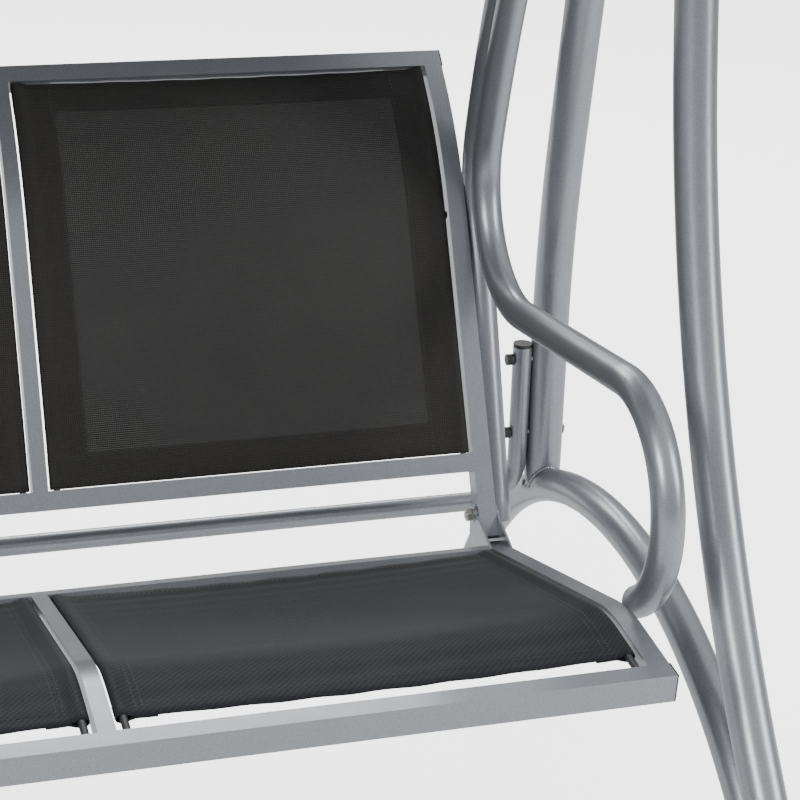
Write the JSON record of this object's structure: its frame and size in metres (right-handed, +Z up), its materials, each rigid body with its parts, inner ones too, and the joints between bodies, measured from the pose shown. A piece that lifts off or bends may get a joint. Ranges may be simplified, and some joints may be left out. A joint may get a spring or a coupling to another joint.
{
  "type": "canopy swing bench",
  "caption": "Garden swing bench with stretched mesh seat and back hung by coil springs from a tubular steel stand, with a tilting fabric canopy.",
  "frame": {"origin": "on the floor, at the centre of the footprint", "axes": "+Z up, +X to the sitter's left along the bench, +Y towards the back of the bench"},
  "size_m": [1.7722, 1.1712, 1.528],
  "materials": {
    "frame_steel": "silver-grey metallic powder coat, semi-gloss",
    "zinc_steel": "bright zinc plate",
    "spring_steel": "zinc plated spring wire",
    "black_plastic": "matte moulded",
    "black_rubber": "matte",
    "seat_sling": "coated polyester mesh",
    "back_sling": "coated polyester mesh",
    "canopy_fabric": "coated woven polyester"
  },
  "bodies": {
    "stand": {"right_front_leg": "frame_steel", "left_front_leg": "frame_steel", "right_rear_leg": "frame_steel", "left_rear_leg": "frame_steel", "right_top_bow": "frame_steel", "left_top_bow": "frame_steel", "right_base_arch": "frame_steel", "left_base_arch": "frame_steel", "right_rear_socket": "frame_steel", "left_rear_socket": "frame_steel", "leg_joint_sleeves": "frame_steel", "foot_caps": "black_rubber", "rear_stretcher": "frame_steel", "stretcher_end_caps": "black_plastic", "stretcher_cap_nuts": "black_plastic", "stand_bolts": "zinc_steel", "top_crossbar": "frame_steel", "crossbar_weld_nuts": "zinc_steel", "crossbar_eyes": "frame_steel", "canopy_lugs": "frame_steel"},
    "right_spring": {"right_upper_hook": "spring_steel", "right_spring_coil": "spring_steel"},
    "right_spring_foot": {"right_lower_hook": "spring_steel"},
    "left_spring": {"left_upper_hook": "spring_steel", "left_spring_coil": "spring_steel"},
    "left_spring_foot": {"left_lower_hook": "spring_steel"},
    "bench": {"right_arm_tube": "frame_steel", "left_arm_tube": "frame_steel", "right_rear_hanger": "frame_steel", "left_rear_hanger": "frame_steel", "hanger_plates": "frame_steel", "seat_front_rail": "frame_steel", "seat_rear_rail": "frame_steel", "right_seat_rail": "frame_steel", "left_seat_rail": "frame_steel", "seat_dividers": "frame_steel", "right_back_rail": "frame_steel", "left_back_rail": "frame_steel", "back_top_rail": "frame_steel", "back_bottom_rail": "frame_steel", "back_dividers": "frame_steel", "back_pivot_brackets": "frame_steel", "back_bolts": "zinc_steel", "back_flange_nuts": "zinc_steel", "frame_end_plugs": "black_plastic", "seat_sling_rods": "black_plastic", "back_sling_rods": "black_plastic", "right_seat_sling": "seat_sling", "middle_seat_sling": "seat_sling", "left_seat_sling": "seat_sling", "right_back_sling": "back_sling", "middle_back_sling": "back_sling", "left_back_sling": "back_sling"},
    "canopy": {"right_canopy_side_tube": "frame_steel", "left_canopy_side_tube": "frame_steel", "canopy_cross_tubes": "frame_steel", "canopy_cover": "canopy_fabric", "canopy_pivot_bolts": "zinc_steel"},
    "right_knob": {"right_canopy_knob": "black_plastic"},
    "left_knob": {"left_canopy_knob": "black_plastic"}
  },
  "joints": [
    {"name": "right_spring_swing", "type": "hinge", "parent": "stand", "child": "right_spring", "pos_m": [0.767, 0.087, 1.361], "axis": [-1, 0, 0], "range_deg": [-12, 12]},
    {"name": "right_spring_stretch", "type": "slide", "parent": "right_spring", "child": "right_spring_foot", "axis": [0, 0, -1], "range_m": [0, 0.03], "stiffness_N_per_m": 6000, "springref_m": -0.0113, "deforming": ["right_spring_coil"]},
    {"name": "left_spring_swing", "type": "hinge", "parent": "stand", "child": "left_spring", "pos_m": [-0.767, 0.087, 1.361], "axis": [-1, 0, 0], "range_deg": [-12, 12]},
    {"name": "left_spring_stretch", "type": "slide", "parent": "left_spring", "child": "left_spring_foot", "axis": [0, 0, -1], "range_m": [0, 0.03], "stiffness_N_per_m": 6000, "springref_m": -0.0113, "deforming": ["left_spring_coil"]},
    {"name": "bench_pitch", "type": "hinge", "parent": "right_spring_foot", "child": "bench", "pos_m": [0.767, 0.087, 1.211], "axis": [-1, 0, 0], "range_deg": [-10, 10]},
    {"name": "canopy_tilt", "type": "hinge", "parent": "stand", "child": "canopy", "pos_m": [0, 0.087, 1.475], "axis": [1, 0, 0], "range_deg": [-20, 20]},
    {"name": "right_knob_turn", "type": "hinge", "parent": "canopy", "child": "right_knob", "pos_m": [0.785, 0.087, 1.475], "axis": [1, 0, 0], "continuous": true},
    {"name": "left_knob_turn", "type": "hinge", "parent": "canopy", "child": "left_knob", "pos_m": [-0.785, 0.087, 1.475], "axis": [1, 0, 0], "continuous": true}
  ],
  "couplings": [
    {"joint": "left_spring_swing", "follows": "right_spring_swing", "ratio": 1},
    {"joint": "left_spring_stretch", "follows": "right_spring_stretch", "ratio": 1}
  ]
}
